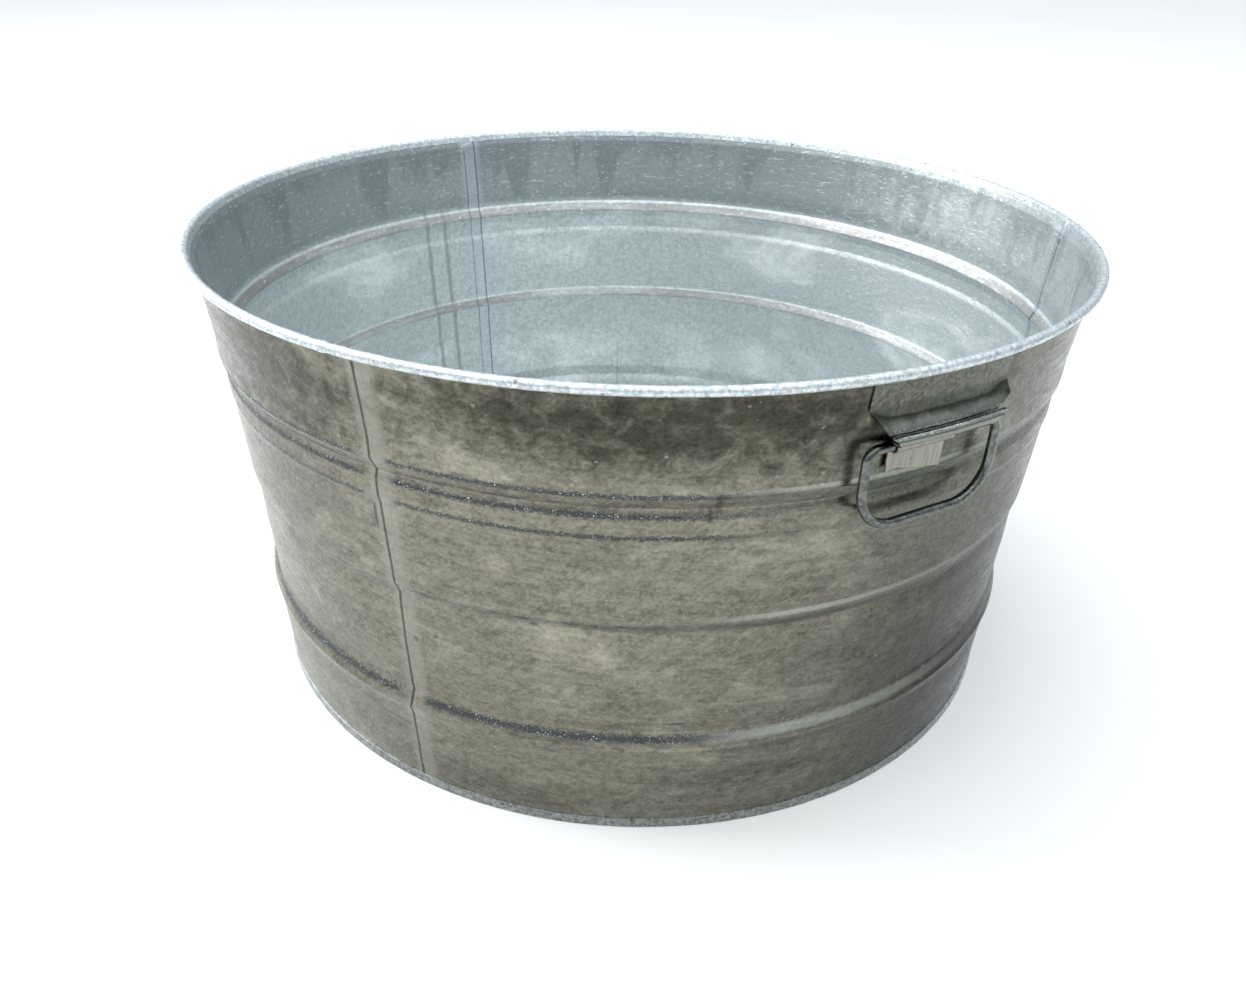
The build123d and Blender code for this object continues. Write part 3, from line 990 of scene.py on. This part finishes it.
def bail():
    """The wire loop, hanging from its top bar, with the zinc a little lumpy on it."""
    bm = bmesh.new()
    middle = Matrix.Translation(Vector((PIVOT_RADIUS, 0, PIVOT_HEIGHT)) * MM)
    upright = Matrix.Rotation(math.pi / 2, 4, "X")
    bmesh.ops.create_circle(bm, segments=20, radius=WIRE_RADIUS * MM, matrix=middle @ upright)
    last = bm.verts[:] + bm.edges[:]
    half, low = BAIL_HALF_WIDTH, PIVOT_HEIGHT - BAIL_DROP
    small, large = BAIL_BENDS
    side = BAIL_DROP - small - large
    path = [
        ((half - small, 0), None, 0), ((0, 0), (half - small, PIVOT_HEIGHT - small), small),
        ((0, -side), None, 0), ((0, 0), (half - large, low + large), large),
        ((2 * (large - half), 0), None, 0), ((0, 0), (large - half, low + large), large),
        ((0, side), None, 0), ((0, 0), (small - half, PIVOT_HEIGHT - small), small),
        ((half - small, 0), None, 0),
    ]
    for (along, up), centre, bend in path:
        if centre is None:
            steps = round(math.hypot(along, up) / 1.5)
            move = Vector((0, along, up)) * (MM / steps)
            made = bmesh.ops.spin(bm, geom=last, cent=(0, 0, 0), axis=(1, 0, 0), dvec=move, steps=steps)
        else:
            hub = Vector((PIVOT_RADIUS, centre[0], centre[1])) * MM
            steps = round(bend / 1.2) + 4
            made = bmesh.ops.spin(bm, geom=last, cent=hub, axis=(1, 0, 0), angle=-math.pi / 2, steps=steps)
        last = made["geom_last"]
    bmesh.ops.remove_doubles(bm, verts=bm.verts, dist=1e-5)
    bmesh.ops.recalc_face_normals(bm, faces=bm.faces)
    bm.normal_update()
    for vert in bm.verts:
        place = vert.co.copy()
        vert.co += vert.normal * (0.10 * drift(place, 7, 17) + 0.06 * drift(place, 2.6, 18) - 0.08) * MM
    return bm


# The finished pieces

for index, name in enumerate(WALL_NODES):
    finished(wall_sheet(index), name, "tub", [OUTSIDE, INSIDE, RIM])
finished(bottom_pan(), "bottom_pan", "tub", [PAN, RIM, CHIME])
for letter, half_turns in (("a", 0), ("b", 1)):
    for kind, shape, body, slot, material in (
        ("hood", hood(), "tub", "galvanized_fittings", HOOD),
        ("strap", strap(), "tub", "strap_sheet", STRAP),
        ("bail", bail(), "bail_" + letter, "bail_wire", BAIL),
    ):
        turn = Matrix.Rotation(math.pi * half_turns, 3, "Z")
        bmesh.ops.rotate(shape, verts=shape.verts, cent=(0, 0, 0), matrix=turn)
        finished(shape, f"{kind}_{letter}", body, [material])
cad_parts["rim_wire"].data.materials.clear()
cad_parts["rim_wire"].data.materials.append(WIRE)


# Camera, floor and light

def look_from(azimuth, distance, height, lens, pitch, yaw, roll):
    """The camera, at an azimuth round the tub, aimed at its axis but for a small yaw, and tilted down."""
    camera = bpy.data.objects.new("camera", bpy.data.cameras.new("camera"))
    bpy.context.scene.collection.objects.link(camera)
    bearing = math.radians(azimuth)
    camera.location = (distance * math.cos(bearing), distance * math.sin(bearing), height)
    turn = math.radians(azimuth + 90 + yaw)
    aim = Matrix.Rotation(turn, 4, "Z") @ Matrix.Rotation(math.radians(90 - pitch), 4, "X")
    camera.rotation_euler = (aim @ Matrix.Rotation(math.radians(roll), 4, "Z")).to_euler()
    camera.data.lens = lens
    camera.data.sensor_width = 36
    bpy.context.scene.camera = camera


def area_lamp(name, place, target, size, power, colour):
    """A soft square lamp that faces a point."""
    lamp = bpy.data.objects.new(name, bpy.data.lights.new(name, "AREA"))
    bpy.context.scene.collection.objects.link(lamp)
    lamp.location = place
    lamp.rotation_euler = (Vector(target) - Vector(place)).to_track_quat("-Z", "Y").to_euler()
    lamp.data.size = size
    lamp.data.energy = power
    lamp.data.color = colour


look_from(azimuth=-30.69, distance=0.7011, height=0.4728, lens=30.357, pitch=29.54, yaw=0.72, roll=1.367)

floor_mesh = bmesh.new()
bmesh.ops.create_grid(floor_mesh, x_segments=1, y_segments=1, size=80)
floor = bpy.data.objects.new("floor", bpy.data.meshes.new("floor"))
floor_mesh.to_mesh(floor.data)
floor.data.materials.append(floor_finish())
bpy.context.scene.collection.objects.link(floor)

world = bpy.data.worlds.new("soft_light")
bpy.context.scene.world = world
world.use_nodes = True
sky = world.node_tree
direction = sky.nodes.new("ShaderNodeTexCoord").outputs["Generated"]
rise = node(sky, "ShaderNodeSeparateXYZ", Vector=direction).outputs[2]
tint = mixed(sky, spread(sky, rise, 0.0, 0.55), (0.34, 0.35, 0.35), (1.0, 1.07, 1.14))
wire(sky, sky.nodes["Background"].inputs["Color"], tint)
sky.nodes["Background"].inputs["Strength"].default_value = 1.0
area_lamp("side_window", (-1.9, -1.9, 2.1), (0.05, 0, 0.15), 2.2, 100, (0.97, 0.98, 1.0))
area_lamp("overhead", (0.2, -0.2, 2.8), (0, 0, 0.2), 4.2, 70, (0.95, 0.98, 1.0))
bpy.context.scene.view_settings.view_transform = "Standard"


def corners(box):
    """A box as plain lists of numbers."""
    return [[float(x) for x in corner] for corner in box]
